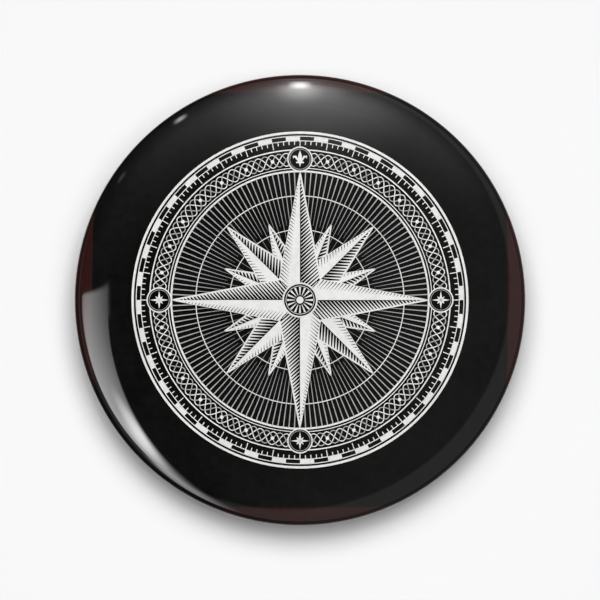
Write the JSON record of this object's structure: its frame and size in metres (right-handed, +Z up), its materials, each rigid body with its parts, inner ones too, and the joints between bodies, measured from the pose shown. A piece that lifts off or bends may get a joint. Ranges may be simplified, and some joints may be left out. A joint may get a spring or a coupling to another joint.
{
  "type": "pin-back button badge",
  "caption": "Round domed button badge: printed paper under clear film, wrapped over a tinplate shell, with a pressed metal back and a hinged wire pin in a catch.",
  "frame": {"origin": "centre of the plane at the back in which the rolled hem touches the cloth", "axes": "+Z up as worn, -Y out of the printed face, +Y into the cloth, +X to the right of someone facing the badge"},
  "size_m": [0.058, 0.0066, 0.058],
  "materials": {
    "tinplate_front": "bright tinplate, covered by the paper",
    "printed_paper": "black printed paper with white line work",
    "polyester_film": "clear glossy film",
    "tinplate_back": "bright tinplate",
    "spring_steel": "drawn nickel-plated wire"
  },
  "bodies": {
    "badge": {"front_shell": "tinplate_front", "printed_disc": "printed_paper", "clear_film": "polyester_film", "back_plate": "tinplate_back"},
    "pin": {"pin_wire": "spring_steel"}
  },
  "joints": [
    {"name": "pin_swing", "type": "hinge", "parent": "badge", "child": "pin", "pos_m": [-0.01654, -0.00169, -0.0032], "axis": [0, 0, 1], "range_deg": [0, 75]}
  ]
}
